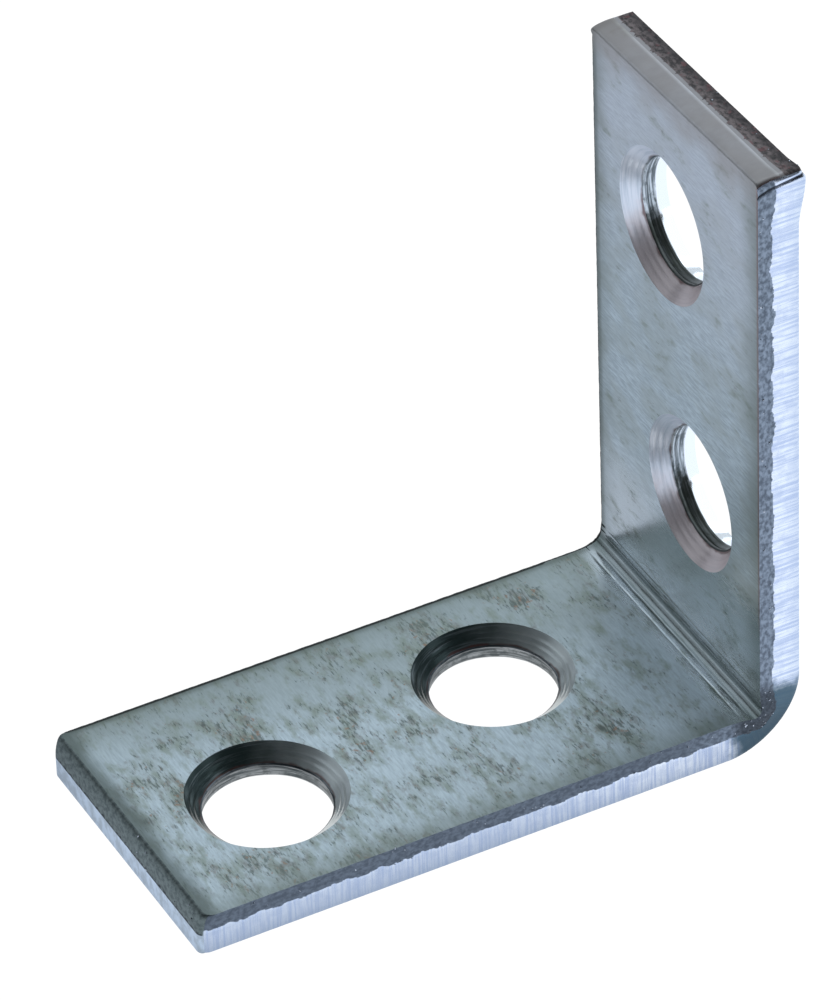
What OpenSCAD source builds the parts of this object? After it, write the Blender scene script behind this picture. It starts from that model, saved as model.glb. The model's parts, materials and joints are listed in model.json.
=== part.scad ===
// Angle bracket (corner brace): one length of narrow steel strip, sheared along both edges,
// pierced and countersunk four times, cropped to length and bent once to a right angle.
//
// Frame: millimetres. The base leg lies flat on the ground (z = 0) and runs along X, the wall
// leg stands up along Z at the +X end with its outer face towards +X, and the strip's width
// runs along Y. The origin is at the bottom centre. Both countersunk faces are the inner ones.

/* [Strip] */
// Width of the strip, from sheared edge to sheared edge
strip_w = 12.7; // [12:0.1:25.4]
// Thickness of the strip
strip_t = 1.8; // [1.4:0.1:2.1]

/* [Legs] */
// Base leg, from the outside of the heel to the cropped end
base_l = 26; // [25:0.1:60]
// Wall leg, from the outside of the heel to the middle of the cropped end
wall_l = 26.6; // [25:0.1:60]
// Rise of the wall leg's end from its back corner to its front corner, cropped out of square
crop_skew = 0.5; // [0:0.1:0.8]

/* [Bend] */
// Radius in the inner corner of the bend
bend_in_r = 0.4; // [0.2:0.1:1]
// Radius round the outside of the bend, larger than the strip is thick because it was pressed
bend_out_r = 3.1; // [2.2:0.1:3.4]
// Height of the swelling that the bend pushes out of each edge at the inner corner
swell = 0.2; // [0.1:0.05:0.3]

/* [Holes] */
// Diameter of each bore
bore_d = 5.1; // [4.2:0.1:5.4]
// Diameter of each countersink where it meets the inner face
rim_d = 6.4; // [6:0.1:6.8]
// Included angle of each countersink, in degrees
sink_angle = 90; // [82:1:100]
// Distance of each hole from the strip's centre line, the pair on a leg lying on opposite sides
stagger = 1; // [0:0.1:1.5]
// Heel to the base leg's near hole
base_near = 9.5; // [8.5:0.1:9.6]
// Heel to the base leg's far hole
base_far = 20.4; // [18:0.1:20.6]
// Heel to the wall leg's near hole
wall_near = 9; // [8.5:0.1:9.6]
// Heel to the wall leg's far hole
wall_far = 20.4; // [18:0.1:20.6]

/* [Edges] */
// Plan radius of the four corners at the cropped ends
corner_r = 0.45; // [0.2:0.05:1]
// Radius pulled down along the inner edge of each cropped end
crop_r = 0.35; // [0.1:0.05:0.6]
// Radius rolled over along both edges of the outer face
edge_r = 0.15; // [0.05:0.05:0.3]
// Width of the broken-out ring where each bore leaves the outer face
breakout = 0.15; // [0.05:0.05:0.2]

/* [Hidden] */
$fn = 96;
// Overshoot of every cutting tool past the metal
clear = 1;
half_w = strip_w / 2;
bore_r = bore_d / 2;
rim_r = rim_d / 2;
sink_depth = (rim_r - bore_r) / tan(sink_angle / 2);
// The broken-out ring is three times as deep as it is wide
breakout_depth = 3 * breakout;
// Slant of the wall leg's end across the strip
skew_angle = atan(crop_skew / strip_w);
// Metal left between the inner corner and the outside of the bend
heel_t = bend_out_r - (bend_out_r - strip_t) * sqrt(2);
// Each swelling is a shallow cone that dies out well before the rolled-over edge
swell_foot_r = heel_t - 2 * edge_r;
swell_top_r = swell_foot_r / 3;
// Longer than either leg, so that the legs can be cropped to length
blank = max(base_l, wall_l) + 4;

// A square corner less the circle that touches both its sides, centred on the circle
module corner_tool_2d(r) {
    difference() {
        square(r + clear);
        circle(r);
    }
}

// The space inside the bend, its corner rounded
module inner_space_2d() {
    difference() {
        translate([-blank - clear, strip_t])
            square(blank + clear - strip_t);
        translate([-strip_t - bend_in_r, strip_t + bend_in_r])
            mirror([0, 1])
            corner_tool_2d(bend_in_r);
    }
}

// Section of the bent strip, X across and Z up, heel corner at the origin, legs left long
module section_2d() {
    difference() {
        translate([-blank, 0])
            square(blank);
        translate([-bend_out_r, bend_out_r])
            mirror([0, 1])
            corner_tool_2d(bend_out_r);
        inner_space_2d();
    }
}

// The strip after bending, with the swelling it gets at each end of the inner corner
module bent_strip() {
    intersection() {
        rotate([90, 0, 0])
            linear_extrude(strip_w + 2 * swell, center = true)
            section_2d();
        union() {
            translate([-blank - clear, -half_w, -clear])
                cube([blank + 2 * clear, strip_w, blank + 2 * clear]);
            for (side = [-1, 1])
                translate([-strip_t, side * half_w, strip_t])
                rotate([-90 * side, 0, 0])
                swell_cone();
        }
    }
}

// Stands on the strip's edge, and is rooted as deep in the metal as it stands proud
module swell_cone() {
    translate([0, 0, -swell])
        cylinder(h = 2 * swell, r1 = 2 * swell_foot_r - swell_top_r, r2 = swell_top_r);
}

// Rolls over the +Y edge of the outer face: along the base leg, round the bend, up the wall leg
module edge_tool() {
    translate([-blank - clear, 0, 0])
        rotate([90, 0, 90])
        linear_extrude(blank + clear - bend_out_r)
        translate([half_w - edge_r, edge_r])
        mirror([0, 1])
        corner_tool_2d(edge_r);
    translate([-bend_out_r, 0, bend_out_r])
        rotate([-90, 0, 0])
        rotate_extrude(angle = 90)
        translate([bend_out_r - edge_r, half_w - edge_r])
        corner_tool_2d(edge_r);
    translate([0, 0, bend_out_r])
        linear_extrude(blank + clear - bend_out_r)
        translate([-edge_r, half_w - edge_r])
        corner_tool_2d(edge_r);
}

// Plan of a cropped end: X runs out along the leg from its nominal end, Y across the strip.
// The corner arcs touch the strip's edges and the end line even where that line slants.
module crop_tool_2d(slant) {
    rotate(slant)
        translate([0, -half_w - 2 * clear])
        square([blank, strip_w + 4 * clear]);
    for (side = [-1, 1]) {
        yc = side * (half_w - corner_r);
        xc = -yc * tan(slant) - corner_r / cos(slant);
        out = corner_r + clear;
        translate([xc, yc])
            difference() {
                polygon([[0, 0], [0, side * out], [out, side * out],
                         [out * cos(slant), out * sin(slant)]]);
                circle(corner_r);
            }
    }
}

// Crops one end of the strip; Z runs from the outer face to the inner face
module crop_tool(slant) {
    translate([0, 0, -clear])
        linear_extrude(strip_t + 2 * clear)
        crop_tool_2d(slant);
    rotate([0, 0, slant])
        rotate([90, 0, 0])
        linear_extrude(strip_w + 4 * clear, center = true)
        translate([-crop_r, strip_t - crop_r])
        corner_tool_2d(crop_r);
}

// One pierced and countersunk hole; Z runs from the outer face to the inner face
module hole_tool() {
    translate([0, 0, -clear])
        cylinder(h = strip_t + 2 * clear, r = bore_r);
    translate([0, 0, strip_t - sink_depth])
        cylinder(h = sink_depth + clear, r1 = bore_r, r2 = rim_r + clear * tan(sink_angle / 2));
    translate([0, 0, -clear])
        cylinder(h = breakout_depth + clear,
                 r1 = bore_r + breakout + clear * breakout / breakout_depth, r2 = bore_r);
}

module bracket() {
    color([0.60, 0.64, 0.66])
        translate([base_l / 2, 0, 0])
        difference() {
            bent_strip();
            for (side = [0, 1])
                mirror([0, side, 0])
                edge_tool();
            translate([-base_l, 0, 0])
                mirror([1, 0, 0])
                crop_tool(0);
            translate([0, 0, wall_l])
                rotate([0, -90, 0])
                crop_tool(skew_angle);
            translate([-base_near, stagger, 0])
                hole_tool();
            translate([-base_far, -stagger, 0])
                hole_tool();
            translate([0, -stagger, wall_near])
                rotate([0, -90, 0])
                hole_tool();
            translate([0, stagger, wall_far])
                rotate([0, -90, 0])
                hole_tool();
        }
}

bracket();
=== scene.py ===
"""Angle bracket: one length of zinc-plated steel strip, sheared, pierced, countersunk, cropped
and bent once to a right angle.

The bracket is made flat, as the real one is: a blank in strip coordinates (along the strip,
across it, and up through its thickness, in millimetres). Then it is folded, and Geometry Nodes
press the torn, scored and creased relief of the tools into its surface and add the flakes that
they tore off. The patterns of every finish are in strip coordinates too.
"""
import json
import math

import bpy
import numpy as np
from mathutils import Matrix, Vector
from mathutils.geometry import delaunay_2d_cdt


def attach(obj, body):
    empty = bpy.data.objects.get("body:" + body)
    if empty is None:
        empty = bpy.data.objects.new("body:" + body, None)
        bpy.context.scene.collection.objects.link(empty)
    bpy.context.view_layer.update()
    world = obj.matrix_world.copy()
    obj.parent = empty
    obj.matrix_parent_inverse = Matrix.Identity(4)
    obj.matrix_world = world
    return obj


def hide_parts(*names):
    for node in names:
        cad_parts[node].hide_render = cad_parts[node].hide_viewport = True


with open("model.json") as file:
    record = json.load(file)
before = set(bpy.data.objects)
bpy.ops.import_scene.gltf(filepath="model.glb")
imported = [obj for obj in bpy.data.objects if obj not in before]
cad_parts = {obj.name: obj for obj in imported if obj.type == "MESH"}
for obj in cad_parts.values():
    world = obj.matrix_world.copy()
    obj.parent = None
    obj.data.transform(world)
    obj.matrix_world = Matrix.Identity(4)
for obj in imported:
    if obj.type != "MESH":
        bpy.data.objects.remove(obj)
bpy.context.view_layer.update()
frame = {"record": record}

# -------------------- sizes, in millimetres

MM = 0.001
BASE_L = 26.0         # heel to the base leg's cropped end
WALL_L = 26.66        # heel to the middle of the wall leg's cropped end
STRIP_W = 12.7
STRIP_T = 1.8
BEND_IN_R = 0.4       # inner corner
BEND_OUT_R = 3.1      # outside of the bend
CROP_SKEW = 0.38      # rise of the wall leg's end from back to front
SWELL = 0.19          # metal pushed out beside the inner corner
BURR = 0.30           # height of the burr at the wall leg's front corner
NECK = 0.12           # metal drawn in round the outside of the bend
RIM_R = 3.2           # countersink at the inner face
FLARE = 0.22          # bore's widening towards the outer face, where the slug broke out
FLARE_DEPTH = 0.62
BASE_DRAW = 0.34      # the inner edge of each cropped end is drawn down along its leg by this
WALL_DRAW = 0.22
DRAW_DEPTH = 0.95     # and through this much of the thickness
DRAW_REACH = 3.0      # the draw dies out along this much of a leg
LEAN_REACH = 2.4      # the wall leg leans out of square along this much of its end
SWELL_REACH = 0.62    # the swelling dies out this far from the inner corner
TEAR_SOFT = 0.035     # half the width of the line between burnished and torn metal
EDGE_R = 0.15         # rolled edge of the outer face
BACK_EDGE_R = 0.20    # the back edge of the inner face is rolled too

HALF_W = STRIP_W / 2
BEND_S = BASE_L - BEND_OUT_R                 # where the bend starts, along the strip
BEND_LEN = BEND_OUT_R * math.pi / 2
WALL_S = BEND_S + BEND_LEN                   # where it ends
STRIP_L = WALL_S + WALL_L - BEND_OUT_R
X0 = -BASE_L / 2                             # the base leg's free end in the frame
# The finishes differ from leg to leg, and change between these places along the strip
BASE_SIDE, WALL_SIDE = 20.0, 30.0
# Creases that the press left beside the inner corner: place along the strip, and width
CREASES = ((BEND_S + 0.85, 0.06), (BEND_S + 1.36, 0.10), (BEND_S + 3.55, 0.09),
           (BEND_S + 4.1, 0.05))


def step(x, low, high):
    """Smooth 0 to 1 between low and high."""
    t = np.clip((x - low) / (high - low), 0.0, 1.0)
    return t * t * (3.0 - 2.0 * t)


# -------------------- the fold

def inner_path(f):
    """The inner face through the bend, f from 0 to 1: straight, round the corner, straight."""
    flat = BEND_OUT_R - STRIP_T - BEND_IN_R
    turn_from, turn_to = 0.3, 0.7
    before = np.clip(f / turn_from, 0, 1) * flat
    after = np.clip((f - turn_to) / (1 - turn_to), 0, 1) * flat
    turn = np.clip((f - turn_from) / (turn_to - turn_from), 0, 1) * math.pi / 2
    x = -BEND_OUT_R + before + BEND_IN_R * np.sin(turn)
    z = STRIP_T + after + BEND_IN_R * (1 - np.cos(turn))
    return x, z


def fold(strip):
    """Strip coordinates (along, across, up from the outer face) to the bent shape."""
    s, y, n = strip[:, 0].copy(), strip[:, 1].copy(), strip[:, 2]
    depth = n / STRIP_T
    # the crop drew its inner edge down; the draw dies out along the leg
    below = np.clip((STRIP_T - n) / DRAW_DEPTH, 0, 1)
    draw = 1 - np.sqrt(1 - (1 - below) ** 2)
    s += draw * (BASE_DRAW * np.clip(1 - s / DRAW_REACH, 0, 1)
                 - WALL_DRAW * np.clip(1 - (STRIP_L - s) / DRAW_REACH, 0, 1))
    f = np.clip((s - BEND_S) / BEND_LEN, 0, 1)
    angle = f * math.pi / 2
    out_x = -BEND_OUT_R + BEND_OUT_R * np.sin(angle)
    out_z = BEND_OUT_R - BEND_OUT_R * np.cos(angle)
    in_x, in_z = inner_path(f)
    x = out_x + depth * (in_x - out_x)
    z = out_z + depth * (in_z - out_z)
    x += np.minimum(s - BEND_S, 0)
    rise = np.maximum(s - WALL_S, 0)
    # the crop left a burr standing out at the wall leg's front corner
    top = WALL_L - BEND_OUT_R
    burr = step(rise, top - LEAN_REACH, top - 0.45) * (1 - 0.7 * step(rise, top - 0.50, top - 0.05))
    x += BURR * burr * step(-y, HALF_W - 1.1, HALF_W - 0.1) * np.clip(1 - depth, 0, 1)
    # the last stretch of the wall leg leans out of square across the strip
    lean = step(rise, top - LEAN_REACH, top)
    z += rise - lean * y * CROP_SKEW / STRIP_W
    # the bend pushes the edges out beside the inner corner
    near = np.exp(-((x + STRIP_T) ** 2 + (z - STRIP_T) ** 2) / SWELL_REACH ** 2)
    y += np.sign(y) * SWELL * near * step(np.abs(y), HALF_W - 0.9, HALF_W)
    # and draws them in round the outside of it
    outside = np.sin(angle * 2) * np.clip(1 - depth, 0, 1) ** 1.5
    y -= np.sign(y) * NECK * outside * step(np.abs(y), HALF_W - 1.2, HALF_W)
    return np.stack([x + BASE_L / 2, y, z], axis=1)


# -------------------- the flat blank

# Zones of the surface, one finish each; 0 is left for the flakes that Geometry Nodes add
ROLLED, SHEARED, CROPPED, SUNK, PIERCED = range(1, 6)

verts, faces, zones, relief_dirs = [], [], [], []


def add_points(points, direction):
    """Adds strip points, each with its outward direction in strip axes, and says the first's."""
    first = sum(len(v) for v in verts)
    verts.append(np.asarray(points, float))
    relief_dirs.append(np.asarray(direction, float))
    return first


def bridge(rows, count, zone_of):
    """Quads between closed rows of points; the rows run down the metal, anticlockwise."""
    for r in range(len(rows) - 1):
        a, b = rows[r], rows[r + 1]
        for i in range(count):
            j = (i + 1) % count
            faces.append((a + i, b + i, b + j, a + j))
            zones.append(zone_of(r, i))


def outline(spacing, arc_n=12):
    """The strip's plan outline, anticlockwise from the base end's front corner, with normals."""
    pts, nor = [], []
    # each corner arc's centre, the angle that it starts at, and its radius
    corners = [(end + inwards * r, side * (HALF_W - r), start, r)
               for end, inwards, side, start, r in (
                   (0, 1, -1, 180, 0.45), (STRIP_L, -1, -1, 270, 0.34),
                   (STRIP_L, -1, 1, 0, 0.16), (0, 1, 1, 90, 0.45))]
    for k, (cx, cy, start, r) in enumerate(corners):
        for i in range(arc_n + 1):
            a = math.radians(start + 90 * i / arc_n)
            pts.append((cx + r * math.cos(a), cy + r * math.sin(a)))
            nor.append((math.cos(a), math.sin(a)))
        # then straight on to where the next arc starts
        next_x, next_y, _, r = corners[(k + 1) % 4]
        a = math.radians(start + 90)
        p = np.array(pts[-1])
        q = np.array([next_x + r * math.cos(a), next_y + r * math.sin(a)])
        count = int(np.linalg.norm(q - p) / spacing)
        for i in range(1, count):
            pts.append(tuple(p + (q - p) * i / count))
            nor.append((math.cos(a), math.sin(a)))
    return np.array(pts), np.array(nor)


def roll(height, radius):
    """How far a rolled edge of this radius has drawn in, this far below its face."""
    h = np.clip(radius - height, 0, radius)
    return radius - np.sqrt(radius ** 2 - h ** 2)


plan, plan_nor = outline(0.055)
loop_n = len(plan)
endness = step(np.abs(plan_nor[:, 0]), 0.35, 0.95)       # 0 on the long edges, 1 on the ends
backness = (plan_nor[:, 1] > 0) * (1 - endness)
# Levels of the edge's rows, close together where the edge is drawn down, torn or rolled over
LEVELS = (1.8, 1.79, 1.765, 1.72, 1.66, 1.59, 1.52, 1.45, 1.38, 1.31, 1.24, 1.17, 1.10, 1.02,
          0.93, 0.84, 0.74, 0.60, 0.45, 0.30, 0.15, 0.06, 0.0)
edge_rows = []
for n in LEVELS:
    draw = backness * roll(STRIP_T - n, BACK_EDGE_R) + (1 - endness) * roll(n, EDGE_R)
    edge = plan - plan_nor * draw[:, None]
    edge_rows.append(add_points(
        np.column_stack([edge, np.full(loop_n, n)]),
        np.column_stack([plan_nor, np.zeros(loop_n)])))
# the metal drawn down at the ends is still the rolled face
drawn_rows = sum(n > STRIP_T - DRAW_DEPTH for n in LEVELS)
bridge(edge_rows, loop_n, lambda r, i: (
    SHEARED if endness[i] < 0.5 else
    ROLLED if r < drawn_rows and plan[i, 0] > STRIP_L / 2 else CROPPED))

# Each hole, from the record's bores: its place along and across the strip, and its radius
holes = []
for mount in frame["record"]["mounts"]:
    if mount["kind"] == "bore":
        x, y, z = (c / MM for c in mount["pos_m"])
        along = x - X0 if mount["axis"][2] > 0.5 else WALL_S + z - BEND_OUT_R
        holes.append((along, y, mount["dims"]["r_mm"]))
holes.sort()

HOLE_N = 232          # points round each hole
turn = np.arange(HOLE_N) * 2 * math.pi / HOLE_N
ring = np.column_stack([np.cos(turn), -np.sin(turn)])     # clockwise, so its faces look inwards


def ragged(seed, amount):
    """A wandering radius round a hole, of about this height."""
    chance = np.random.default_rng(seed)
    waves = sum(np.sin(k * turn + chance.uniform(0, 6.3)) * chance.uniform(0.4, 1.0) / k ** 0.6
                for k in (2, 3, 5, 8, 13, 19, 29))
    return amount * waves / 2


# Rows of a cone: how far down it, and how far the tool's two steps stand off it, in millimetres
CONE = ((0.12, 0), (0.24, 0), (0.34, -0.012), (0.39, 0.035), (0.44, 0.030), (0.52, 0),
        (0.62, -0.012), (0.67, 0.035), (0.72, 0.030), (0.80, 0), (0.89, 0))
rim_loops, foot_loops = [], []
for along, across, bore_r in holes:
    sink = RIM_R - bore_r
    # radius and height of each row: rounded rim, cone, lip, bore, broken-out ring
    rows = [(RIM_R, STRIP_T), (RIM_R - 0.03, STRIP_T - 0.035)]
    # the steps are mostly worn away, and more so on the wall leg
    left = 0.4 if along < BEND_S else 0.12
    rows += [(RIM_R - sink * down + off * left, STRIP_T - sink * down) for down, off in CONE]
    cone_rows = len(rows)
    lip = STRIP_T - sink
    rows += [(bore_r + 0.03, lip + 0.03), (bore_r - 0.03, lip - 0.02), (bore_r - 0.015, lip - 0.08),
             (bore_r + 0.02, lip - 0.14), (bore_r - 0.01, lip - 0.22), (bore_r + 0.015, lip - 0.32),
             (bore_r, lip - 0.42), (bore_r, FLARE_DEPTH + 0.04),
             (bore_r + 0.07 * FLARE, FLARE_DEPTH - 0.04), (bore_r + 0.4 * FLARE, 0.6 * FLARE_DEPTH),
             (bore_r + 0.7 * FLARE, 0.3 * FLARE_DEPTH), (bore_r + FLARE, 0.0)]
    starts = []
    for radius, n in rows:
        # the lip between cone and bore was torn uneven; the rim wanders a little
        wander = ragged(int(along * 10), 0.035) * (abs(n - lip) < 0.1) + ragged(
            int(along * 7), 0.012) * (n > STRIP_T - 0.1)
        starts.append(add_points(
            np.column_stack([ring * (radius + wander[:, None]) + (along, across),
                             np.full(HOLE_N, n)]),
            np.column_stack([-ring, np.zeros(HOLE_N)])))
    bridge(starts, HOLE_N, lambda r, i: SUNK if r < cone_rows else PIERCED)
    rim_loops.append((starts[0], RIM_R))
    foot_loops.append((starts[-1], bore_r + FLARE))


def fill_face(edge_first, hole_loops, n, normal_z, bend_rows):
    """Fills a face of the strip between its outline and its holes, finer near both."""
    all_points = np.concatenate(verts)
    border = list(range(edge_first, edge_first + loop_n))
    for first, _ in hole_loops:
        border += list(range(first, first + HOLE_N))
    fixed = all_points[border][:, :2]
    pull = np.abs(all_points[edge_first:edge_first + loop_n, :2] - plan).sum(axis=1)
    # three rows of points within the outline, and three round each hole, ever further apart
    inner = [plan[::every] - plan_nor[::every] * (pull[::every] + gap)[:, None]
             for gap, every in ((0.07, 2), (0.2, 4), (0.45, 9))]
    for (along, across, _), (_, radius) in zip(holes, hole_loops):
        for gap, count in ((0.07, 150), (0.2, 90), (0.45, 50)):
            a = np.arange(count) * 2 * math.pi / count
            inner.append(np.column_stack([along + (radius + gap) * np.cos(a),
                                          across + (radius + gap) * np.sin(a)]))
    grid = [(s, y) for s in np.arange(1.2, STRIP_L - 1.0, 0.85)
            for y in np.linspace(-HALF_W + 1.1, HALF_W - 1.1, 13)]
    inner.append(np.array(grid))
    points = np.concatenate(inner)
    # the bend has rows of its own, square across the strip
    points = points[(points[:, 0] < BEND_S - 0.1) | (points[:, 0] > WALL_S + 0.1)]
    count = int(STRIP_W / 0.36)
    across = np.linspace(-HALF_W + 0.24, HALF_W - 0.24, count)
    points = np.concatenate([points] + [np.column_stack([np.full(count, s), across])
                                        for s in bend_rows])
    # drop what falls in a hole or too near its edge or the outline's
    keep = np.ones(len(points), bool)
    keep &= (points[:, 0] > 0.03 + pull.max()) & (points[:, 0] < STRIP_L - 0.03 - pull.max())
    keep &= np.abs(points[:, 1]) < HALF_W - 0.05
    for (along, across, _), (_, radius) in zip(holes, hole_loops):
        keep &= np.hypot(points[:, 0] - along, points[:, 1] - across) > radius + 0.05
    points = np.unique(np.round(points[keep], 4), axis=0)
    first = add_points(np.column_stack([points, np.full(len(points), n)]),
                       np.tile((0.0, 0.0, normal_z), (len(points), 1)))
    index = border + list(range(first, first + len(points)))
    coords = np.concatenate([fixed, points])
    sizes = [loop_n] + [HOLE_N] * len(hole_loops)
    starts = np.cumsum([0] + sizes)
    rims = [(int(a + i), int(a + (i + 1) % size)) for a, size in zip(starts, sizes)
            for i in range(size)]
    _, _, tris, source, _, _ = delaunay_2d_cdt([Vector(p) for p in coords], rims, [], 1, 1e-7)
    for tri in tris:
        ids = [source[v][0] for v in tri]
        loops = [int(np.searchsorted(starts, v, "right")) for v in ids]
        if loops[0] == loops[1] == loops[2] and 2 <= loops[0] <= len(sizes):
            continue                                      # inside a hole
        a, b, c = (coords[v] for v in ids)
        if ((b[0] - a[0]) * (c[1] - a[1]) - (c[0] - a[0]) * (b[1] - a[1])) * normal_z < 0:
            ids.reverse()
        faces.append(tuple(index[v] for v in ids))
        zones.append(ROLLED)


fill_face(edge_rows[0], rim_loops, STRIP_T, 1.0, np.arange(BEND_S + 0.05, WALL_S, 0.06))
fill_face(edge_rows[-1], foot_loops, 0.0, -1.0, np.arange(BEND_S + 0.05, WALL_S, 0.15))

strip_points = np.concatenate(verts)
marks = np.concatenate(relief_dirs)
bent = fold(strip_points)
# the direction of each mark after folding
ahead = fold(strip_points + marks * 0.01) - bent
ahead /= np.maximum(np.linalg.norm(ahead, axis=1), 1e-9)[:, None]


def new_mesh(name, points, polygons):
    """A mesh of these polygons, its points in metres."""
    mesh = bpy.data.meshes.new(name)
    mesh.from_pydata(points, [], polygons)
    mesh.update()
    return mesh


def place(name, data):
    """Puts a mesh, a light or a camera in the scene."""
    obj = bpy.data.objects.new(name, data)
    bpy.context.collection.objects.link(obj)
    return obj


def store(mesh, name, kind, domain, values):
    """Writes one value, or one vector, to each point or face of a mesh."""
    layer = mesh.attributes.new(name, kind, domain)
    layer.data.foreach_set("vector" if kind == "FLOAT_VECTOR" else "value",
                           np.ascontiguousarray(values).ravel())


blank = new_mesh("bracket_blank", (bent * MM).tolist(), faces)
store(blank, "strip", "FLOAT_VECTOR", "POINT", strip_points)
store(blank, "mark", "FLOAT_VECTOR", "POINT", ahead)
store(blank, "facing", "FLOAT_VECTOR", "POINT", marks)
store(blank, "zone", "INT", "FACE", np.array(zones, np.int32))
for name, share in (("on_edge", 1 - endness), ("on_end", endness)):
    values = np.zeros(len(bent))
    for first in edge_rows:
        values[first:first + loop_n] = share
    store(blank, name, "FLOAT", "POINT", values)
blank.shade_smooth()
blank.set_sharp_from_angle(angle=math.radians(38))


# -------------------- nodes

def add(tree, kind, inputs=(), **settings):
    """Adds a node with its settings; each input is a value, a socket or another node."""
    node = tree.nodes.new(kind)
    for name, value in settings.items():
        setattr(node, name, value)
    for key, value in dict(inputs).items():
        socket = (node.inputs[key] if isinstance(key, int)
                  else next(s for s in node.inputs if s.name == key and s.enabled))
        if isinstance(value, bpy.types.Node):
            value = next(s for s in value.outputs if s.enabled)
        if isinstance(value, bpy.types.NodeSocket):
            tree.links.new(value, socket)
        else:
            socket.default_value = value
    return node


def colour(code, alpha=1.0):
    """sRGB hex to the linear colour that a socket takes."""
    parts = [int(code[i:i + 2], 16) / 255 for i in (1, 3, 5)]
    return (*[c / 12.92 if c <= 0.04045 else ((c + 0.055) / 1.055) ** 2.4 for c in parts], alpha)


def grain(tree, strip, size, detail=3.0, roughness=0.55, seed=0.0):
    """Noise about 0.5, its grains of this size in millimetres along, across and up the strip."""
    where = add(tree, "ShaderNodeVectorMath", {
        0: strip, 1: [1 / c for c in size], 2: (seed, seed, seed)}, operation="MULTIPLY_ADD")
    return add(tree, "ShaderNodeTexNoise", {"Vector": where, "Scale": 1.0, "Detail": detail,
                                            "Roughness": roughness})


def distance(tree, value, place):
    """How far a value is from this place, either way."""
    off = add(tree, "ShaderNodeMath", {0: value, 1: place}, operation="SUBTRACT")
    return add(tree, "ShaderNodeMath", {0: off}, operation="ABSOLUTE")


def bell(tree, value, place, width):
    """1 at this place, dying out on both sides of it over this width."""
    off = add(tree, "ShaderNodeMath", {0: value, 1: place}, operation="SUBTRACT")
    off = add(tree, "ShaderNodeMath", {0: off, 1: width}, operation="DIVIDE")
    square = add(tree, "ShaderNodeMath", {0: off, 1: off}, operation="MULTIPLY")
    square = add(tree, "ShaderNodeMath", {0: square, 1: -1.0}, operation="MULTIPLY")
    return add(tree, "ShaderNodeMath", {0: square}, operation="EXPONENT")


# -------------------- press work (Geometry Nodes)

def border(tree, above, below):
    """Rises from 0 to 1 where the first of two levels comes to lie over the second."""
    gap = add(tree, "ShaderNodeMath", {0: above, 1: below}, operation="SUBTRACT")
    return add(tree, "ShaderNodeMapRange", {
        "Value": gap, "From Min": -TEAR_SOFT, "From Max": TEAR_SOFT},
        interpolation_type="SMOOTHSTEP")


def torn_metal(tree, strip, on_edge, on_end, torn_from):
    """1 where the metal tore, 0 where the tools burnished it, on the edges and the ends."""
    along, _, up = add(tree, "ShaderNodeSeparateXYZ", {0: strip}).outputs
    # the edges tore next to the inner face, past a scalloped and toothed line
    scallop = grain(tree, strip, (0.9, 9, 90), 1.0, 0.5)
    teeth = grain(tree, strip, (0.20, 9, 90), 2.0, 0.65)
    line = add(tree, "ShaderNodeMath", {0: scallop, 1: 0.38, 2: torn_from},
               operation="MULTIPLY_ADD")
    line = add(tree, "ShaderNodeMath", {0: teeth, 1: 0.19, 2: line}, operation="MULTIPLY_ADD")
    by_leg = add(tree, "ShaderNodeMapRange", {
        "Value": along, "From Min": BASE_SIDE, "From Max": WALL_SIDE,
        "To Min": -0.285, "To Max": -0.21})
    line = add(tree, "ShaderNodeMath", {0: line, 1: by_leg}, operation="ADD")
    # they tore deeper where the bend opened them
    from_bend = distance(tree, along, BEND_S + BEND_LEN / 2)
    opened = add(tree, "ShaderNodeMapRange", {
        "Value": from_bend, "From Min": 0.3, "From Max": 2.2, "To Min": 0.22, "To Max": 0.0},
        interpolation_type="SMOOTHSTEP")
    line = add(tree, "ShaderNodeMath", {0: line, 1: opened}, operation="SUBTRACT")
    edge = border(tree, up, line)
    # the base leg's end tore next to the inner face, the wall leg's next to the outer
    wander = grain(tree, strip, (90, 0.5, 90), 2.0, 0.6)
    base_line = add(tree, "ShaderNodeMath", {0: wander, 1: 0.22, 2: 0.78},
                    operation="MULTIPLY_ADD")
    wander = grain(tree, strip, (90, 0.6, 90), 4.0, 0.8)
    wall_line = add(tree, "ShaderNodeMath", {0: wander, 1: 0.42, 2: 0.50},
                    operation="MULTIPLY_ADD")
    at_wall = add(tree, "ShaderNodeMath", {0: along, 1: BASE_SIDE}, operation="GREATER_THAN")
    end = add(tree, "ShaderNodeMix", {
        "Factor": at_wall, "A": border(tree, up, base_line), "B": border(tree, wall_line, up)},
        data_type="FLOAT")
    end = add(tree, "ShaderNodeMath", {0: on_end, 1: end}, operation="MULTIPLY")
    return add(tree, "ShaderNodeMath", {0: on_edge, 1: edge, 2: end}, operation="MULTIPLY_ADD")


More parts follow.
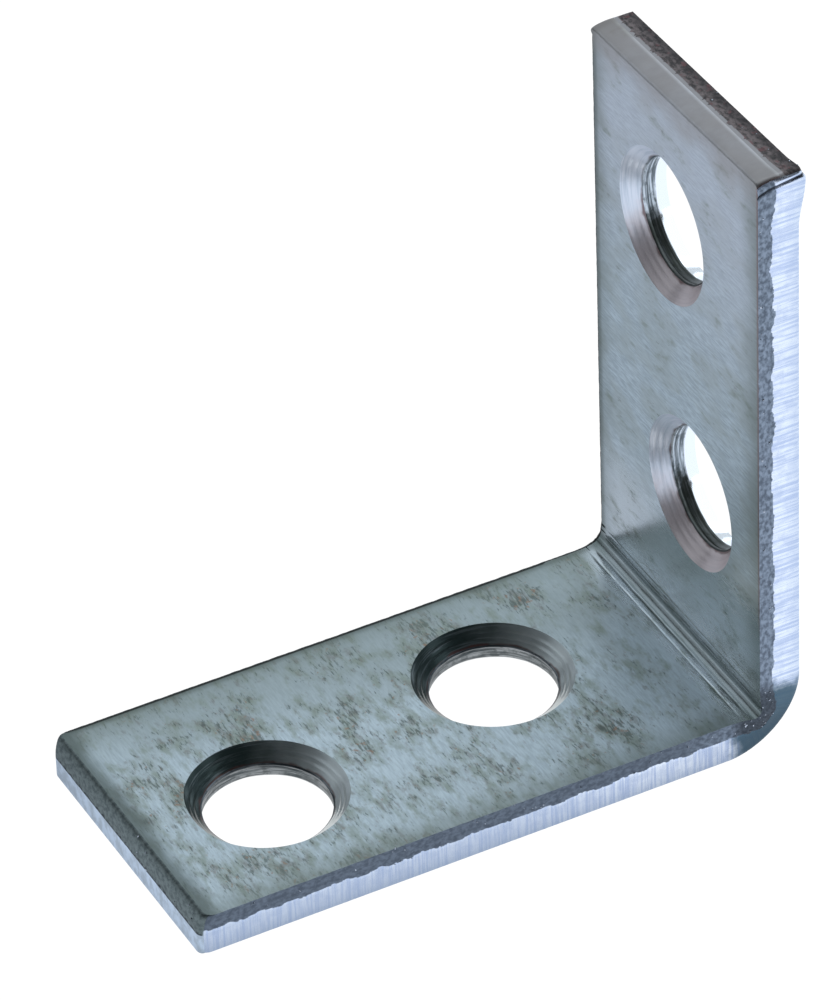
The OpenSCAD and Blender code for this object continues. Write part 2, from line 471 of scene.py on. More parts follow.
def creases(tree, strip, on_edge):
    """1 in the creases that the press left, and more where it folded the burr over."""
    along, across, up = add(tree, "ShaderNodeSeparateXYZ", {0: strip}).outputs
    crease = 0.0
    for place, width in CREASES:
        crease = add(tree, "ShaderNodeMath", {0: crease, 1: bell(tree, along, place, width)},
                     operation="ADD")
    # only on the inner face, dying out towards its edges, and stronger in patches
    inner = add(tree, "ShaderNodeMapRange", {
        "Value": up, "From Min": STRIP_T - 0.01, "From Max": STRIP_T - 0.001})
    fade = add(tree, "ShaderNodeMapRange", {
        "Value": distance(tree, across, 0.0), "From Min": HALF_W - 0.9, "From Max": HALF_W - 0.2,
        "To Min": 1.0, "To Max": 0.0}, interpolation_type="SMOOTHSTEP")
    patchy = add(tree, "ShaderNodeMapRange", {
        "Value": grain(tree, strip, (0.6, 1.6, 90), 2.0, 0.5), "From Min": 0.35, "From Max": 0.6,
        "To Min": 0.3, "To Max": 1.0})
    for share in (inner, fade, patchy):
        crease = add(tree, "ShaderNodeMath", {0: crease, 1: share}, operation="MULTIPLY")
    # the burr is folded over along a slanting line across the front edge
    fold_at = add(tree, "ShaderNodeMath", {0: up, 1: -0.14, 2: STRIP_L - 0.24},
                  operation="MULTIPLY_ADD")
    folded = bell(tree, along, fold_at, 0.05)
    front = add(tree, "ShaderNodeMath", {0: across, 1: 0.0}, operation="LESS_THAN")
    for share in (on_edge, front):
        folded = add(tree, "ShaderNodeMath", {0: folded, 1: share}, operation="MULTIPLY")
    return add(tree, "ShaderNodeMath", {0: folded, 1: 2.5, 2: crease}, operation="MULTIPLY_ADD")


def relief(tree, strip, on_edge, on_end, torn, pressed, given):
    """How far each tool sank the surface, in millimetres."""
    up = add(tree, "ShaderNodeSeparateXYZ", {0: strip}).outputs[2]
    # torn metal lies a little below the burnish and is rough, less so on the ends
    crag = grain(tree, strip, (0.32, 0.32, 0.22), 3.0, 0.6)
    calm = add(tree, "ShaderNodeMath", {0: on_end, 1: -0.75, 2: 1.0}, operation="MULTIPLY_ADD")
    sunk = add(tree, "ShaderNodeMath", {0: crag, 1: 1.6}, operation="MULTIPLY")
    for share in (torn, given["Torn depth"], calm):
        sunk = add(tree, "ShaderNodeMath", {0: sunk, 1: share}, operation="MULTIPLY")
    # burnish is scored through the thickness, but not where the ends are drawn down
    undrawn = add(tree, "ShaderNodeMapRange", {
        "Value": up, "From Min": STRIP_T - DRAW_DEPTH - 0.1,
        "From Max": STRIP_T - DRAW_DEPTH + 0.2, "To Min": 1.0, "To Max": 0.0})
    sides = add(tree, "ShaderNodeMath", {0: on_end, 1: undrawn}, operation="MULTIPLY")
    sides = add(tree, "ShaderNodeMath", {0: sides, 1: on_edge}, operation="MAXIMUM")
    burnish = add(tree, "ShaderNodeMath", {0: 1.0, 1: torn}, operation="SUBTRACT")
    scored = grain(tree, strip, (0.10, 0.10, 1.6), 2.0, 0.6)
    for share in (sides, burnish):
        scored = add(tree, "ShaderNodeMath", {0: scored, 1: share}, operation="MULTIPLY")
    depth = add(tree, "ShaderNodeMath", {0: scored, 1: given["Striation depth"], 2: sunk},
                operation="MULTIPLY_ADD")
    return add(tree, "ShaderNodeMath", {0: pressed, 1: given["Crease depth"], 2: depth},
               operation="MULTIPLY_ADD")


def flakes(tree, surface, strip, torn, given):
    """Flakes of zinc and steel that stand on the front edge's torn metal, most at the bend."""
    along, across, _ = add(tree, "ShaderNodeSeparateXYZ", {0: strip}).outputs
    per_m2 = add(tree, "ShaderNodeMapRange", {
        "Value": distance(tree, along, BEND_S + BEND_LEN / 2), "From Min": 1.0, "From Max": 2.6,
        "To Min": 8 / MM ** 2, "To Max": 1 / MM ** 2})
    density = add(tree, "ShaderNodeMath", {0: given["Flakes per mm2"], 1: per_m2},
                  operation="MULTIPLY")
    rough = add(tree, "ShaderNodeMath", {0: torn, 1: 0.6}, operation="GREATER_THAN")
    front = add(tree, "ShaderNodeMath", {0: across, 1: 0.0}, operation="LESS_THAN")
    chosen = add(tree, "ShaderNodeMath", {0: rough, 1: front}, operation="MULTIPLY")
    spread = add(tree, "GeometryNodeDistributePointsOnFaces", {
        "Mesh": surface, "Density": density, "Selection": chosen, "Seed": given["Seed"]})
    # a flake belongs to the first zone, which is what it reads where it has none
    seeds = add(tree, "GeometryNodeRemoveAttribute", {
        "Geometry": spread.outputs["Points"], "Name": "zone"})
    turned = add(tree, "FunctionNodeRandomValue", {"Max": (6.3, 6.3, 6.3), "Seed": given["Seed"]},
                 data_type="FLOAT_VECTOR")
    sized = add(tree, "FunctionNodeRandomValue", {
        "Min": (0.3, 0.3, 0.2), "Max": (1.3, 1.3, 0.7), "Seed": given["Seed"]},
        data_type="FLOAT_VECTOR")
    sized = add(tree, "ShaderNodeVectorMath", {0: sized, "Scale": given["Flake size"]},
                operation="SCALE")
    flake = add(tree, "GeometryNodeMeshIcoSphere", {"Radius": MM, "Subdivisions": 1})
    return add(tree, "GeometryNodeInstanceOnPoints", {
        "Points": seeds, "Instance": flake, "Rotation": turned, "Scale": sized})


def press_work():
    """The tree that marks the folded blank as its tools did: shear, crop, punch and press."""
    tree = bpy.data.node_groups.new("press_work", "GeometryNodeTree")
    face = tree.interface
    face.new_socket("Geometry", in_out="INPUT", socket_type="NodeSocketGeometry")
    for name in ("Torn from", "Torn depth", "Striation depth", "Crease depth", "Flake size",
                 "Flakes per mm2"):
        face.new_socket(name, in_out="INPUT", socket_type="NodeSocketFloat")
    face.new_socket("Seed", in_out="INPUT", socket_type="NodeSocketInt")
    for name in FINISHES:
        face.new_socket(name, in_out="INPUT", socket_type="NodeSocketMaterial")
    face.new_socket("Geometry", in_out="OUTPUT", socket_type="NodeSocketGeometry")
    given = add(tree, "NodeGroupInput").outputs
    strip, mark = (add(tree, "GeometryNodeInputNamedAttribute", {"Name": name},
                       data_type="FLOAT_VECTOR") for name in ("strip", "mark"))
    on_edge, on_end = (add(tree, "GeometryNodeInputNamedAttribute", {"Name": name},
                           data_type="FLOAT") for name in ("on_edge", "on_end"))

    torn = torn_metal(tree, strip, on_edge, on_end, given["Torn from"])
    pressed = creases(tree, strip, on_edge)
    depth = relief(tree, strip, on_edge, on_end, torn, pressed, given)
    inwards = add(tree, "ShaderNodeMath", {0: depth, 1: -MM}, operation="MULTIPLY")
    offset = add(tree, "ShaderNodeVectorMath", {0: mark, "Scale": inwards}, operation="SCALE")
    surface = add(tree, "GeometryNodeSetPosition", {
        "Geometry": given["Geometry"], "Offset": offset})
    for name, value in (("torn", torn), ("crease", pressed)):
        surface = add(tree, "GeometryNodeStoreNamedAttribute", {
            "Geometry": surface, "Name": name, "Value": value}, data_type="FLOAT",
            domain="POINT")
    joined = add(tree, "GeometryNodeJoinGeometry", {"Geometry": surface})
    tree.links.new(flakes(tree, surface, strip, torn, given).outputs[0], joined.inputs[0])

    result = add(tree, "GeometryNodeRealizeInstances", {"Geometry": joined})
    zone = add(tree, "GeometryNodeInputNamedAttribute", {"Name": "zone"}, data_type="INT")
    for number, name in enumerate(FINISHES):
        chosen = add(tree, "FunctionNodeCompare", {"A": zone, "B": number},
                     data_type="INT", operation="EQUAL")
        result = add(tree, "GeometryNodeSetMaterial", {
            "Geometry": result, "Selection": chosen, "Material": given[name]})
    add(tree, "NodeGroupOutput", {"Geometry": result})
    return tree


# -------------------- finishes

# Every finish is zinc-plated low-carbon steel, set apart by the tool that made its surface. Rolling
# lines, blade scores and tool marks are some hundredths of a millimetre wide on the real metal;
# here they are drawn two or three times as coarse, or they would not show.

def finish(name, metallic, bump_mm, paint):
    """A plated metal; paint(tree, strip) gives its colour, roughness and height."""
    material = bpy.data.materials.new(name)
    material.use_nodes = True
    tree = material.node_tree
    tree.nodes.clear()
    strip = add(tree, "ShaderNodeAttribute", attribute_name="strip").outputs["Vector"]
    tint, rough, height = paint(tree, strip)
    bump = add(tree, "ShaderNodeBump", {"Height": height, "Strength": 1.0,
                                        "Distance": bump_mm * MM})
    shader = add(tree, "ShaderNodeBsdfPrincipled", {
        "Base Color": tint, "Metallic": metallic, "Roughness": rough, "Normal": bump})
    add(tree, "ShaderNodeOutputMaterial", {"Surface": shader})
    return material


def over(tree, amount, low, high, under, top, most=1.0):
    """Lays one colour, as a node or in hex, over another where a pattern rises from low to high."""
    under, top = (colour(c) if isinstance(c, str) else c for c in (under, top))
    share = add(tree, "ShaderNodeMapRange", {"Value": amount, "From Min": low, "From Max": high,
                                             "To Max": most}, interpolation_type="SMOOTHSTEP")
    return add(tree, "ShaderNodeMix", {"Factor": share, "A": under, "B": top}, data_type="RGBA")


def stains(tree, strip, along, cloud, tone):
    """Olive and grey stains, dark ticks and specks of rust, thick on the base leg, thin above."""
    bare = add(tree, "ShaderNodeMapRange", {"Value": along, "From Min": 19.0, "From Max": 31.0,
                                            "To Min": 0.0, "To Max": 0.15})
    crowding = 0.65                                 # how much a cloud gathers the spots
    for size, seed, low, high, code, most in (
            ((0.38, 0.95, 1), 11.0, 0.40, 0.74, "#8b9584", 0.66),
            ((0.26, 0.60, 1), 23.0, 0.53, 0.72, "#7f7a74", 0.48),
            ((0.10, 0.42, 1), 31.0, 0.56, 0.70, "#56615c", 0.64),
            ((0.22, 0.26, 1), 37.0, 0.66, 0.76, "#a3836c", 0.60)):
        spots = grain(tree, strip, size, 3.0, 0.6, seed)
        crowd = add(tree, "ShaderNodeMath", {0: cloud, 1: crowding, 2: spots},
                    operation="MULTIPLY_ADD")
        thinned = add(tree, "ShaderNodeMath", {0: crowd, 1: bare}, operation="SUBTRACT")
        tone = over(tree, thinned, low + crowding / 2, high + crowding / 2, tone, code, most)
    return tone


def edge_tone_and_shade(tree, along, across, cloud, leg, tone):
    """Darker along both edges and grey at the base leg's end, with painted black shade along the
    base leg's back edge.
    """
    side = distance(tree, across, 0.0)
    side = add(tree, "ShaderNodeMath", {0: cloud, 1: 1.2, 2: side}, operation="MULTIPLY_ADD")
    tone = over(tree, side, 5.2, 7.2, tone, "#848d86", 0.65)
    tone = over(tree, across, HALF_W - 0.62, HALF_W - 0.30, tone, "#5d665f", 0.5)
    on_base = add(tree, "ShaderNodeMath", {0: leg, 1: -3.0, 2: across}, operation="MULTIPLY_ADD")
    # painted shade: black along the base leg's back edge
    tone = over(tree, on_base, HALF_W - 0.34, HALF_W - 0.25, tone, "#1b1f1a", 0.9)
    to_end = add(tree, "ShaderNodeMath", {0: cloud, 1: -1.2, 2: along}, operation="MULTIPLY_ADD")
    return over(tree, to_end, 0.5, -0.5, tone, "#6c7672", 0.85)


def rolled_zinc(tree, strip):
    """Electroplated zinc on cold-rolled strip: a blue-grey satin, streaked across the strip by
    the rolls and stained, with painted light beside the bend and painted shade in the inner corner,
    the creases and where the wall leg's end is drawn down."""
    along, across, up = add(tree, "ShaderNodeSeparateXYZ", {0: strip}).outputs
    strokes = grain(tree, strip, (0.085, 0.65, 1), 3.0, 0.65)
    cloud = grain(tree, strip, (1.8, 2.8, 2), 3.0, 0.5, 5.0)
    tone = over(tree, strokes, 0.32, 0.68, "#bcc9cf", "#dbe8ee")
    tone = over(tree, cloud, 0.40, 0.62, tone, "#c3cdcd", 0.7)
    # 0 on the base leg, 1 on the wall leg
    leg = add(tree, "ShaderNodeMapRange", {"Value": along, "From Min": 21.5, "From Max": 25.5})
    # painted light: the plating is painted brighter either side of the bend, most up the wall leg
    painted_light_near_bend = add(tree, "ShaderNodeMath", {0: leg, 1: -4.0, 2: distance(tree, along, BEND_S + 3.2)},
                 operation="MULTIPLY_ADD")
    tone = over(tree, painted_light_near_bend, 3.2, -1.0, tone, "#f3f8fc", 0.62)
    # painted light: the wall leg is painted lighter again towards its end
    tone = over(tree, along, 38.0, 50.0, tone, "#f0edf7", 0.4)
    # the base leg is duller, and darker in patches towards its back edge
    behind = add(tree, "ShaderNodeMath", {0: cloud, 1: 3.0, 2: across}, operation="MULTIPLY_ADD")
    behind = add(tree, "ShaderNodeMath", {0: along, 1: 0.14, 2: behind}, operation="MULTIPLY_ADD")
    behind = add(tree, "ShaderNodeMath", {0: leg, 1: -12.0, 2: behind}, operation="MULTIPLY_ADD")
    tone = over(tree, behind, 3.4, 7.2, tone, "#80887e", 0.68)
    tone = over(tree, leg, 1.0, 0.0, tone, "#b9c6ca", 0.45)
    tone = stains(tree, strip, along, cloud, tone)
    tone = edge_tone_and_shade(tree, along, across, cloud, leg, tone)
    # the wall leg's end is warmer and duller, and painted shade darkens it most where it is drawn
    # down
    warm = add(tree, "ShaderNodeMath", {0: cloud, 1: 2.0, 2: along}, operation="MULTIPLY_ADD")
    tone = over(tree, warm, STRIP_L - 0.6, STRIP_L + 1.2, tone, "#b5aaa4", 0.55)
    drawn = distance(tree, up, STRIP_T - DRAW_DEPTH / 2)
    tone = over(tree, drawn, DRAW_DEPTH / 2, 0.3, tone, "#8d8683", 0.6)
    # the outer face lay against the die and came out duller
    tone = over(tree, up, 0.9, 0.1, tone, "#a2aeb4", 0.6)
    # painted shade: the inner corner is painted dark grey, dimming the light that it reflects
    corner = distance(tree, along, BEND_S + BEND_LEN / 2)
    tone = over(tree, corner, 1.25, 0.85, tone, "#6f7a78", 0.7)
    # a thread of rust runs beside the torn edge, on the wall leg only
    on_wall = add(tree, "ShaderNodeMapRange", {"Value": along, "From Min": 29.0,
                                               "From Max": 32.0},
                  interpolation_type="SMOOTHSTEP")
    thread = add(tree, "ShaderNodeMapRange", {"Value": across, "From Min": -HALF_W + 0.10,
                                              "From Max": -HALF_W + 0.22, "To Min": 0.55,
                                              "To Max": 0.0})
    thread = add(tree, "ShaderNodeMath", {0: thread, 1: on_wall}, operation="MULTIPLY")
    tone = over(tree, thread, 0.0, 1.0, tone, "#8a5a55")
    # painted shade in the creases
    crease = add(tree, "ShaderNodeAttribute", attribute_name="crease").outputs["Fac"]
    tone = over(tree, crease, 0.15, 0.9, tone, "#4c534d", 0.8)
    # bright strokes are smoother, and so is the plating either side of the bend
    rough = add(tree, "ShaderNodeMapRange", {"Value": strokes, "From Min": 0.3, "From Max": 0.7,
                                             "To Min": 0.46, "To Max": 0.36})
    polish = add(tree, "ShaderNodeMapRange", {"Value": painted_light_near_bend, "From Min": 3.2, "From Max": 0.5,
                                              "To Max": 0.17})
    rough = add(tree, "ShaderNodeMath", {0: rough, 1: polish}, operation="SUBTRACT")
    return tone, rough, strokes


def sheared_steel(tree, strip):
    """Strip slit by a shear: a bright band scored through the thickness where the blade burnished
    it, under a dull grey, pitted band where it tore; with painted shade low down, round the outside
    of the bend, in the creases and along the rolled back edge."""
    along, across, up = add(tree, "ShaderNodeSeparateXYZ", {0: strip}).outputs
    torn = add(tree, "ShaderNodeAttribute", attribute_name="torn").outputs["Fac"]
    score = grain(tree, strip, (0.09, 0.09, 2.0), 3.0, 0.55)
    cloud = grain(tree, strip, (0.55, 0.55, 0.45), 3.0, 0.55)
    lump = grain(tree, strip, (0.22, 0.22, 0.16), 3.0, 0.55)
    bright = over(tree, score, 0.35, 0.62, "#cbd5ec", "#f6f9ff")
    bright = over(tree, cloud, 0.42, 0.66, bright, "#b9c5de", 0.4)
    # the plating is duller on the base leg, and painted darker low down, as the shade near the
    # floor
    bright = over(tree, along, 21.0, 12.0, bright, "#b4c0d4", 0.5)
    low = add(tree, "ShaderNodeMath", {0: cloud, 1: 0.8, 2: up}, operation="MULTIPLY_ADD")
    bright = over(tree, low, 1.15, 0.35, bright, "#9fb0c6", 0.3)
    # and painted shade, dark teal, round the outside of the bend, this far inside it, for the
    # shaded floor that it reflects
    inside = add(tree, "ShaderNodeMath", {
        0: BEND_LEN / 2, 1: distance(tree, along, BEND_S + BEND_LEN / 2)}, operation="SUBTRACT")
    bend_shade = add(tree, "ShaderNodeMath", {0: cloud, 1: 1.2, 2: inside},
                   operation="MULTIPLY_ADD")
    bright = over(tree, bend_shade, 0.25, 1.25, bright, "#435d6a", 0.94)
    dull = over(tree, lump, 0.32, 0.68, "#666e79", "#98a2af")
    dull = over(tree, along, 24.0, 20.0, dull, "#565d66", 0.6)
    dull = over(tree, inside, -0.3, 0.8, dull, "#393c40", 0.75)
    tone = over(tree, torn, 0.35, 0.65, bright, dull)
    # painted shade in the creases and the fold of the burr
    crease = add(tree, "ShaderNodeAttribute", attribute_name="crease").outputs["Fac"]
    tone = over(tree, crease, 0.3, 1.6, tone, "#2c2e34", 0.9)
    # the back edge is rolled over, and painted black along it as shade
    back = add(tree, "ShaderNodeMath", {0: up, 1: across}, operation="ADD")
    corner = STRIP_T + HALF_W
    tone = over(tree, back, corner - 0.32, corner - 0.2, tone, "#23261f", 0.9)
    rough = add(tree, "ShaderNodeMapRange", {"Value": torn, "To Min": 0.26, "To Max": 0.5})
    height = add(tree, "ShaderNodeMix", {"Factor": torn, "A": score, "B": lump},
                 data_type="FLOAT")
    return tone, rough, height


def cropped_steel(tree, strip):
    """Strip cropped to length in a die: pale and smooth where the die wiped it, then torn, rough
    and grimy on the base leg; on the wall leg, painted dark brown as shade, with flecks of rust."""
    along, _, up = add(tree, "ShaderNodeSeparateXYZ", {0: strip}).outputs
    torn = add(tree, "ShaderNodeAttribute", attribute_name="torn").outputs["Fac"]
    cloud = grain(tree, strip, (0.5, 0.45, 0.6), 3.0, 0.6)
    lump = grain(tree, strip, (0.25, 0.25, 0.16), 3.0, 0.6)
    wiped = over(tree, cloud, 0.38, 0.65, "#d3dfec", "#b9c3cc")
    # painted shade: the wall leg's end is painted darker and warmer, and its torn metal dark brown,
    # darkest towards the outer face, for the dark that the end reflects
    wiped = over(tree, along, BASE_SIDE, WALL_SIDE, wiped, "#a09a98", 0.9)
    rusty = grain(tree, strip, (0.2, 0.35, 0.25), 2.0, 0.5, 41.0)
    brown = over(tree, lump, 0.32, 0.68, "#4a4645", "#867b79")
    brown = over(tree, up, 0.55, 0.1, brown, "#353233", 0.6)
    brown = over(tree, rusty, 0.58, 0.72, brown, "#8a5a5c", 0.45)
    grime = over(tree, lump, 0.35, 0.62, "#596261", "#757e7c")
    # black specks follow the line where the base leg's end tore
    line = grain(tree, strip, (90, 0.5, 90), 2.0, 0.6)
    line = add(tree, "ShaderNodeMath", {0: line, 1: -0.22, 2: up}, operation="MULTIPLY_ADD")
    line = add(tree, "ShaderNodeMath", {0: lump, 1: 0.45, 2: line}, operation="MULTIPLY_ADD")
    grime = over(tree, line, 1.13, 1.03, grime, "#191e20", 0.9)
    rough_metal = over(tree, along, 10.0, 40.0, grime, brown)
    tone = over(tree, torn, 0.35, 0.65, wiped, rough_metal)
    rough = add(tree, "ShaderNodeMapRange", {"Value": torn, "To Min": 0.38, "To Max": 0.5})
    return tone, rough, lump


def countersunk_steel(tree, strip):
    """A cone pressed and turned by a countersink: fine bright rings, thinly plated, blooming pink
    with the first rust on the wall leg, and with painted shade on one side on the base leg."""
    along, _, up = add(tree, "ShaderNodeSeparateXYZ", {0: strip}).outputs
    facing = add(tree, "ShaderNodeAttribute", attribute_name="facing").outputs["Vector"]
    ring = grain(tree, strip, (2.0, 2.0, 0.06), 2.0)
    cloud = grain(tree, strip, (0.9, 0.9, 0.7), 2.0, 0.5, 3.0)
    tone = over(tree, ring, 0.30, 0.60, "#dbe2ec", "#f4f7ff")
    # on the wall leg the lower side has bloomed pink
    low = add(tree, "ShaderNodeVectorMath", {0: facing, 1: (1.0, 0.15, 0)},
              operation="DOT_PRODUCT").outputs["Value"]
    low = add(tree, "ShaderNodeMath", {0: cloud, 1: 0.8, 2: low}, operation="MULTIPLY_ADD")
    pink = over(tree, low, 0.3, 1.2, tone, "#d3b9b0", 0.65)
    # on the base leg, painted shade on the side away from the bend, its rings showing a little
    # lighter through it
    free = add(tree, "ShaderNodeVectorMath", {0: facing, 1: (0.75, -0.66, 0)},
               operation="DOT_PRODUCT").outputs["Value"]
    free = add(tree, "ShaderNodeMath", {0: cloud, 1: 0.5, 2: free}, operation="MULTIPLY_ADD")
    painted_cone_shade = over(tree, free, -0.6, 0.9, "#d9e0df", "#354442")
    painted_cone_shade = over(tree, ring, 0.52, 0.66, painted_cone_shade, "#b8c0c4", 0.2)
    tone = over(tree, along, BASE_SIDE, WALL_SIDE, painted_cone_shade, pink)
    # the torn lip at the bore has begun to rust
    lip = add(tree, "ShaderNodeMath", {0: cloud, 1: -0.30, 2: up}, operation="MULTIPLY_ADD")
    tone = over(tree, lip, 1.10, 1.02, tone, "#6b4a46", 0.8)
    return tone, 0.28, ring


def punched_steel(tree, strip):
    """A bore made by a punch: dull and scored round where it came in, then a mirror burnish that
    takes the colour of what it faces."""
    along, _, up = add(tree, "ShaderNodeSeparateXYZ", {0: strip}).outputs
    facing = add(tree, "ShaderNodeAttribute", attribute_name="facing").outputs["Vector"]
    score = grain(tree, strip, (1.6, 1.6, 0.075), 3.0, 0.6)
    cloud = grain(tree, strip, (0.4, 0.4, 0.3), 3.0, 0.6, 9.0)
    dull = over(tree, score, 0.38, 0.62, "#6d757a", "#dde3e8")
    dull = over(tree, cloud, 0.48, 0.66, dull, "#596062", 0.6)
    dull = over(tree, along, 26.0, 22.0, dull, "#3a4143", 0.6)
    # painted shade: darkest where it faces up the wall leg
    low = add(tree, "ShaderNodeVectorMath", {0: facing, 1: (1.0, 0.1, 0)},
              operation="DOT_PRODUCT").outputs["Value"]
    low = add(tree, "ShaderNodeMath", {0: cloud, 1: 0.6, 2: low}, operation="MULTIPLY_ADD")
    dark = over(tree, low, 0.45, 0.75, dull, "#34362f", 0.9)
    dull = over(tree, along, BASE_SIDE, WALL_SIDE, dull, dark)
    # the scored part lies above this level, give or take its own scores
    burnish_top = (0.66, 0.72)
    level = add(tree, "ShaderNodeMath", {0: score, 1: 0.16, 2: up}, operation="MULTIPLY_ADD")
    tone = over(tree, level, *burnish_top, "#fdfeff", dull)
    rough = add(tree, "ShaderNodeMapRange", {
        "Value": level, "From Min": burnish_top[0], "From Max": burnish_top[1],
        "To Min": 0.12, "To Max": 0.42})
    return tone, rough, score


def flake_zinc(tree, strip):
    """Flakes that the shear tore off: bare, bright, unevenly grey specks."""
    spot = grain(tree, strip, (0.1, 0.1, 0.1))
    return over(tree, spot, 0.4, 0.6, "#9a9ea6", "#d8dce4"), 0.35, spot


# In the order of the zones: metallic, which is less where plating is thin; height of the bump in
# millimetres; and the function that paints the finish
FINISHES = {name: finish(name, *rest) for name, *rest in (
    ("torn_zinc_flakes", 1.0, 0.001, flake_zinc),
    ("zinc_plated_cold_rolled_steel", 1.0, 0.0018, rolled_zinc),
    ("zinc_plated_sheared_steel", 1.0, 0.004, sheared_steel),
    ("zinc_plated_cropped_steel", 1.0, 0.003, cropped_steel),
    ("zinc_plated_countersunk_steel", 0.55, 0.0015, countersunk_steel),
    ("zinc_plated_punched_steel", 1.0, 0.002, punched_steel))}


# -------------------- the piece

for material in FINISHES.values():
    blank.materials.append(material)
blank_obj = place("blank", blank)
modifier = blank_obj.modifiers.new("press_work", "NODES")
modifier.node_group = press_work()
settings = {"Torn from": 1.12, "Torn depth": 0.045, "Striation depth": 0.02, "Crease depth": 0.03,
            "Flake size": 0.05, "Flakes per mm2": 1.8, "Seed": 7} | FINISHES
for item in modifier.node_group.interface.items_tree:
    if item.in_out == "INPUT" and item.name in settings:
        modifier[item.identifier] = settings[item.name]
graph = bpy.context.evaluated_depsgraph_get()
strip_mesh = bpy.data.meshes.new_from_object(blank_obj.evaluated_get(graph), depsgraph=graph)
bpy.data.objects.remove(blank_obj)
bracket = place("bracket_strip", strip_mesh)
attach(bracket, "root")
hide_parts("bracket")


# -------------------- floor, light and camera

WHITE = 1.05          # strength at which a lit card is white to look at


def lit_acrylic(name, shaded):
    """A table of opal acrylic lit from below: flat white, with no shadow on it. Its light on the
    metal falls off behind the bracket and close under its edges, where the bracket shades it."""
    material = bpy.data.materials.new(name)
    material.use_nodes = True
    tree = material.node_tree
    tree.nodes.clear()
    strength, tint = WHITE, colour("#ffffff")
    if shaded:
        spot = add(tree, "ShaderNodeTexCoord").outputs["Object"]
        x, y, _ = add(tree, "ShaderNodeSeparateXYZ", {0: spot}).outputs
        half_l, half_w = BASE_L / 2 * MM, 6.4 * MM
        # bright in front and to the right, dim behind and to the left
        right_of = add(tree, "ShaderNodeMath", {0: x, 1: half_l}, operation="SUBTRACT")
        right_of = add(tree, "ShaderNodeMath", {0: right_of, 1: 0.0}, operation="MAXIMUM")
        behind = add(tree, "ShaderNodeMath", {0: x, 1: 0.45, 2: y}, operation="MULTIPLY_ADD")
        behind = add(tree, "ShaderNodeMath", {0: right_of, 1: -4.0, 2: behind},
                     operation="MULTIPLY_ADD")
        light = add(tree, "ShaderNodeMapRange", {
            "Value": behind, "From Min": -6 * MM, "From Max": 8 * MM, "To Min": 1.22,
            "To Max": 0.62}, interpolation_type="SMOOTHSTEP")
        # how far a spot lies outside the base leg's plan
        apart = add(tree, "ShaderNodeVectorMath", {0: spot}, operation="ABSOLUTE")
        apart = add(tree, "ShaderNodeVectorMath", {0: apart, 1: (half_l, half_w, 0)},
                    operation="SUBTRACT")
        apart = add(tree, "ShaderNodeVectorMath", {0: apart}, operation="MAXIMUM")
        apart = add(tree, "ShaderNodeVectorMath", {0: apart}, operation="LENGTH").outputs["Value"]
        shade = add(tree, "ShaderNodeMapRange", {
            "Value": apart, "From Max": 2 * MM, "To Min": 0.68, "To Max": 1.0})
        light = add(tree, "ShaderNodeMath", {0: light, 1: shade}, operation="MULTIPLY")
        seen = add(tree, "ShaderNodeLightPath").outputs["Is Camera Ray"]
        strength = add(tree, "ShaderNodeMix", {"Factor": seen, "A": light, "B": WHITE},
                       data_type="FLOAT")
        tint = add(tree, "ShaderNodeMix", {"Factor": seen, "A": colour("#dfe9f6"),
                                           "B": colour("#ffffff")}, data_type="RGBA")
    lamp = add(tree, "ShaderNodeEmission", {"Color": tint, "Strength": strength})
    add(tree, "ShaderNodeOutputMaterial", {"Surface": lamp})
    return material


def floor_disc():
    """A disc whose rim is turned up into a low cove all round, in metres."""
    profile = ((0.5, 0.0), (0.62, 0.008), (0.7, 0.03), (0.74, 0.07), (0.75, 0.13))
    count = 96                                      # points round each ring
    drop = 0.03 * MM                                # just under the bracket
    points = [(0.0, 0.0, -drop)]
    for radius, height in profile:
        for k in range(count):
            a = 2 * math.pi * k / count
            points.append((radius * math.cos(a), radius * math.sin(a), height - drop))
    polygons = [(0, 1 + k, 1 + (k + 1) % count) for k in range(count)]
    for first in range(1, 1 + count * (len(profile) - 1), count):
        for k in range(count):
            a, b = first + k, first + (k + 1) % count
            polygons.append((a, a + count, b + count, b))
    return points, polygons


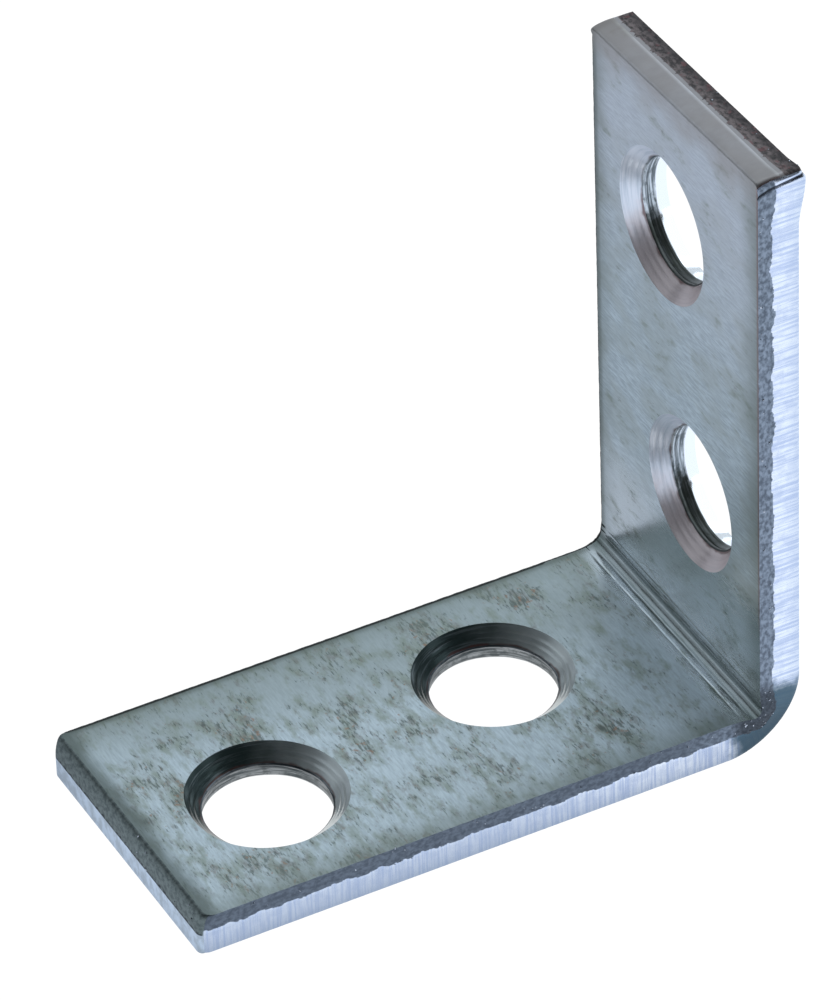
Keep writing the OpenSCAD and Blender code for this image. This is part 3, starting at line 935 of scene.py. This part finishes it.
floor = place("pale_floor", new_mesh("pale_floor", *floor_disc()))
floor.data.shade_smooth()
floor.data.materials.append(lit_acrylic("lit_floor", True))
# A white card just over the floor, under the base leg, shows through its holes
card = place("white_card", new_mesh("white_card", [
    (x * 12.2 * MM, y * 5.6 * MM, -0.02 * MM) for x, y in ((-1, -1), (1, -1), (1, 1), (-1, 1))],
    [(0, 1, 2, 3)]))
card.data.materials.append(lit_acrylic("lit_card", False))

world = bpy.data.worlds.new("studio")
world.use_nodes = True
sky = world.node_tree.nodes["Background"]
sky.inputs["Color"].default_value = colour("#ccd6e0")
sky.inputs["Strength"].default_value = 0.07
bpy.context.scene.world = world

# Square soft lights, all this far from the bracket: direction from it, size in metres, radiance
LIGHT_AWAY = 0.6
for name, direction, size, radiance in (
        ("back_softbox", (0.30, 0.76, 0.58), 0.9, 0.765),
        ("left_softbox", (-0.80, 0.58, 0.20), 0.5, 0.48),
        ("top_softbox", (0.10, 0.22, 1.0), 0.5, 0.55),
        ("right_softbox", (0.90, 0.05, 0.32), 0.8, 1.30)):
    light = bpy.data.lights.new(name, "AREA")
    light.shape = "SQUARE"
    light.size = size
    light.energy = math.pi * size * size * radiance
    light.color = colour("#dfeaf4")[:3]
    lamp = place(name, light)
    aim = Vector(direction).normalized()
    lamp.location = aim * LIGHT_AWAY
    lamp.rotation_euler = aim.to_track_quat("Z", "Y").to_euler()

# The view, from in front, above and to the left: where it stands, and its right and down
VIEW_FROM = (-0.110766, -0.218673, 0.202140)
VIEW_RIGHT = Vector((0.881346, -0.471595, -0.028753))
VIEW_DOWN = Vector((-0.308966, -0.529236, -0.790221))
camera_data = bpy.data.cameras.new("camera")
camera_data.lens = 296.04
camera_data.clip_start = 0.01
camera = place("camera", camera_data)
camera.matrix_world = Matrix.Translation(VIEW_FROM) @ Matrix(
    (VIEW_RIGHT, -VIEW_DOWN, -VIEW_RIGHT.cross(VIEW_DOWN))).transposed().to_4x4()
bpy.context.scene.camera = camera
bpy.context.scene.view_settings.view_transform = "Standard"
